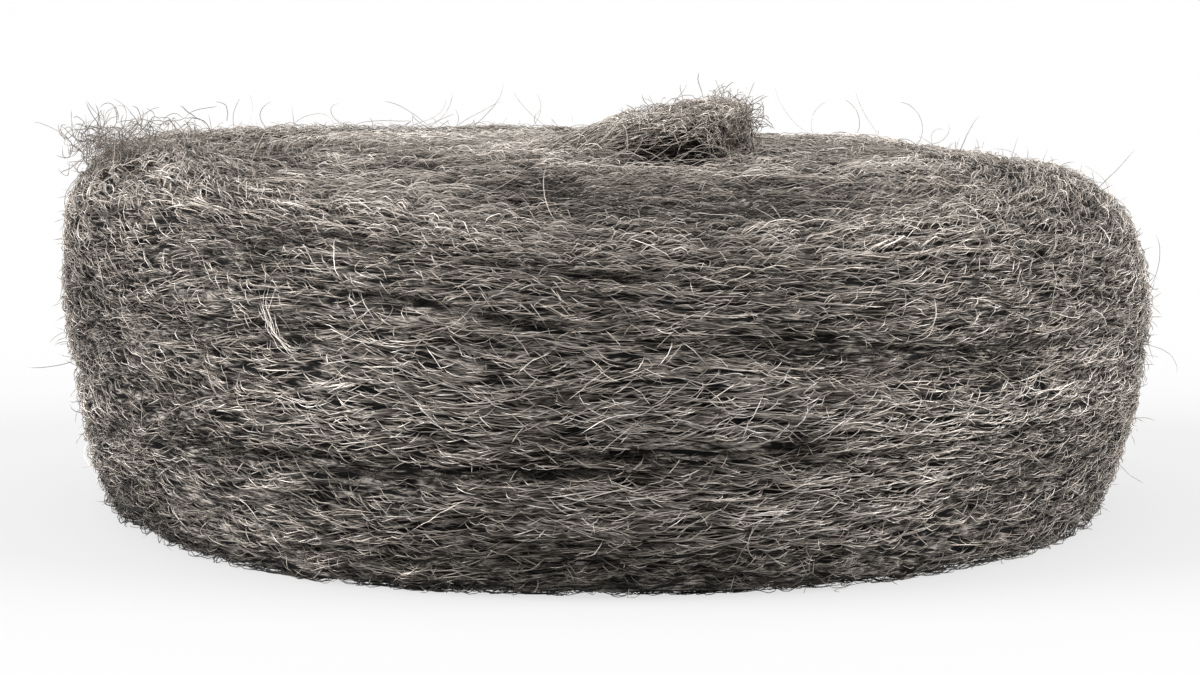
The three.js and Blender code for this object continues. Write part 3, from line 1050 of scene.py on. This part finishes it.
packed_wool = heart_finish()
heart.data.materials.append(packed_wool)
lock_core.data.materials.append(packed_wool)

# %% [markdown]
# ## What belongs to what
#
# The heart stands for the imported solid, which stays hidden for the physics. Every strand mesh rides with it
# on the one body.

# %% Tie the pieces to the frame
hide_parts("wool_roll")
for piece in [heart, lock_core, *pieces, *brown_pieces]:
    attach(piece, "root")

# %% [markdown]
# ## The studio
#
# The roll lies on a plain white sweep that glows a little by itself, like a light table, so that it stays
# white while shadows on it stay soft and pale. A weak broad light hangs overhead. Two strong ones stand low
# at the sides, so the flanks are lighter than the middle. The camera stands low, about eight degrees up,
# with a long lens.

# %% Floor
FLOOR_GREY = 0.096
FLOOR_GLOW = 0.675
deselect_all()
bpy.ops.mesh.primitive_plane_add(size=6, location=(0, 0, 0))
floor = bpy.context.object
floor.name = "floor"
floor_paint, _, _, floor_shader = new_material("white_sweep")
floor_shader.inputs["Base Color"].default_value = (*[FLOOR_GREY] * 3, 1)
floor_shader.inputs["Emission Color"].default_value = (1, 1, 1, 1)
floor_shader.inputs["Emission Strength"].default_value = FLOOR_GLOW
floor_shader.inputs["Roughness"].default_value = 0.9
floor_shader.inputs["Specular IOR Level"].default_value = 0.0
floor.data.materials.append(floor_paint)

# %% Lights


def soft_light(name, direction, spread_degrees, strength):
    """A lamp so far away that it lights the whole sweep evenly, and so broad that its shadows are soft."""
    data = bpy.data.lights.new(name, "SUN")
    data.angle, data.energy = math.radians(spread_degrees), strength
    light = bpy.data.objects.new(name, data)
    bpy.context.scene.collection.objects.link(light)
    light.rotation_euler = (-Vector(direction)).to_track_quat("-Z", "Y").to_euler()
    return light


soft_light("overhead", (0, 0.05, 0.75), 60, 1.65)
soft_light("left_side", (-0.75, -0.15, 0.32), 40, 8.3)
soft_light("right_side", (0.75, -0.15, 0.32), 40, 6.5)

world = bpy.data.worlds.new("white_room")
bpy.context.scene.world = world
world.use_nodes = True
room = world.node_tree.nodes["Background"]
room.inputs["Color"].default_value = (1, 1, 1, 1)
room.inputs["Strength"].default_value = 1.0

# %% Camera
CAMERA_ELEVATION = math.radians(7.8)
CAMERA_DISTANCE = 0.344
FIELD_OF_VIEW = math.radians(20)
AIM = Vector((-0.00045, 0, 0.0164))
camera_data = bpy.data.cameras.new("camera")
camera = bpy.data.objects.new("camera", camera_data)
bpy.context.scene.collection.objects.link(camera)
camera_data.sensor_width = 36
camera_data.lens = 18 / math.tan(FIELD_OF_VIEW / 2)
camera_data.clip_start, camera_data.clip_end = 0.01, 50
back = Vector((0, -math.cos(CAMERA_ELEVATION), math.sin(CAMERA_ELEVATION)))
camera.location = AIM + back * CAMERA_DISTANCE
camera.rotation_euler = (-back).to_track_quat("-Z", "Y").to_euler()
bpy.context.scene.camera = camera
bpy.context.scene.view_settings.view_transform = "Standard"
